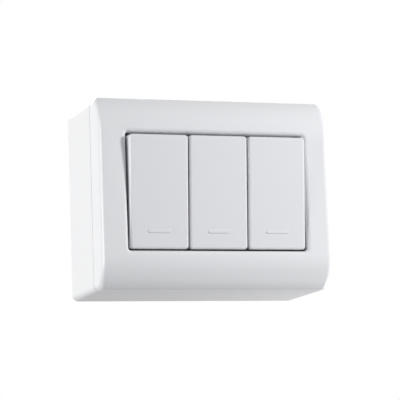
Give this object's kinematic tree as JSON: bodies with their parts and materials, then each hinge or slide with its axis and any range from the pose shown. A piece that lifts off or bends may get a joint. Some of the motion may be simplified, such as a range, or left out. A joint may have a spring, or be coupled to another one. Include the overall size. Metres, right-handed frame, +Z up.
{
  "type": "surface mounted light switch",
  "caption": "Surface mounted light switch: shallow white box with a rolled front cover and a row of rocker keys, over contact levers and screw terminals.",
  "frame": {"origin": "centre of the back box's wall face, midway between the wall fixing slots", "axes": "+Y points from the wall face into the wall, so the rockers face -Y; +X is along the row of rockers, to the right seen from the front; +Z is up on the wall"},
  "size_m": [0.1004, 0.0533, 0.0804],
  "materials": {
    "box_plastic": "satin",
    "cover_plastic": "gloss",
    "rocker_plastic": "gloss",
    "frame_plastic": "matte",
    "housing_plastic": "matte",
    "plunger_plastic": "satin",
    "contact_brass": "satin",
    "screw_steel": "zinc plated",
    "spring_steel": "bright wire"
  },
  "bodies": {
    "switch_box": {"back_box": "box_plastic", "front_cover": "cover_plastic", "mounting_frame": "frame_plastic", "frame_screws": "screw_steel", "switch_housing_left": "housing_plastic", "rocker_carrier_left": "frame_plastic", "common_terminal_left": "contact_brass", "way_one_terminal_left": "contact_brass", "way_two_terminal_left": "contact_brass", "terminal_screws_left": "screw_steel", "switch_housing_middle": "housing_plastic", "rocker_carrier_middle": "frame_plastic", "common_terminal_middle": "contact_brass", "way_one_terminal_middle": "contact_brass", "way_two_terminal_middle": "contact_brass", "terminal_screws_middle": "screw_steel", "switch_housing_right": "housing_plastic", "rocker_carrier_right": "frame_plastic", "common_terminal_right": "contact_brass", "way_one_terminal_right": "contact_brass", "way_two_terminal_right": "contact_brass", "terminal_screws_right": "screw_steel"},
    "key_left": {"rocker_left": "rocker_plastic", "plunger_spring_left": "spring_steel"},
    "pusher_left": {"plunger_left": "plunger_plastic"},
    "see_saw_left": {"contact_lever_left": "contact_brass"},
    "key_middle": {"rocker_middle": "rocker_plastic", "plunger_spring_middle": "spring_steel"},
    "pusher_middle": {"plunger_middle": "plunger_plastic"},
    "see_saw_middle": {"contact_lever_middle": "contact_brass"},
    "key_right": {"rocker_right": "rocker_plastic", "plunger_spring_right": "spring_steel"},
    "pusher_right": {"plunger_right": "plunger_plastic"},
    "see_saw_right": {"contact_lever_right": "contact_brass"}
  },
  "joints": [
    {"name": "rocker_hinge_left", "type": "hinge", "parent": "switch_box", "child": "key_left", "pos_m": [-0.02555, -0.0459, 0], "axis": [-1, 0, 0], "range_deg": [0, 10]},
    {"name": "plunger_slide_left", "type": "slide", "parent": "key_left", "child": "pusher_left", "axis": [0, -0.9962, -0.0872], "range_m": [0, 0.0012], "stiffness_N_per_m": 400, "springref_m": -0.003, "deforming": ["plunger_spring_left"]},
    {"name": "lever_hinge_left", "type": "hinge", "parent": "switch_box", "child": "see_saw_left", "pos_m": [-0.02555, -0.0308, 0], "axis": [1, 0, 0], "range_deg": [0, 14]},
    {"name": "rocker_hinge_middle", "type": "hinge", "parent": "switch_box", "child": "key_middle", "pos_m": [0, -0.0459, 0], "axis": [-1, 0, 0], "range_deg": [0, 10]},
    {"name": "plunger_slide_middle", "type": "slide", "parent": "key_middle", "child": "pusher_middle", "axis": [0, -0.9962, -0.0872], "range_m": [0, 0.0012], "stiffness_N_per_m": 400, "springref_m": -0.003, "deforming": ["plunger_spring_middle"]},
    {"name": "lever_hinge_middle", "type": "hinge", "parent": "switch_box", "child": "see_saw_middle", "pos_m": [0, -0.0308, 0], "axis": [1, 0, 0], "range_deg": [0, 14]},
    {"name": "rocker_hinge_right", "type": "hinge", "parent": "switch_box", "child": "key_right", "pos_m": [0.02555, -0.0459, 0], "axis": [-1, 0, 0], "range_deg": [0, 10]},
    {"name": "plunger_slide_right", "type": "slide", "parent": "key_right", "child": "pusher_right", "axis": [0, -0.9962, -0.0872], "range_m": [0, 0.0012], "stiffness_N_per_m": 400, "springref_m": -0.003, "deforming": ["plunger_spring_right"]},
    {"name": "lever_hinge_right", "type": "hinge", "parent": "switch_box", "child": "see_saw_right", "pos_m": [0.02555, -0.0308, 0], "axis": [1, 0, 0], "range_deg": [0, 14]}
  ],
  "couplings": [
    {"joint": "lever_hinge_left", "follows": "rocker_hinge_left", "ratio": 1.4},
    {"joint": "lever_hinge_middle", "follows": "rocker_hinge_middle", "ratio": 1.4},
    {"joint": "lever_hinge_right", "follows": "rocker_hinge_right", "ratio": 1.4}
  ]
}
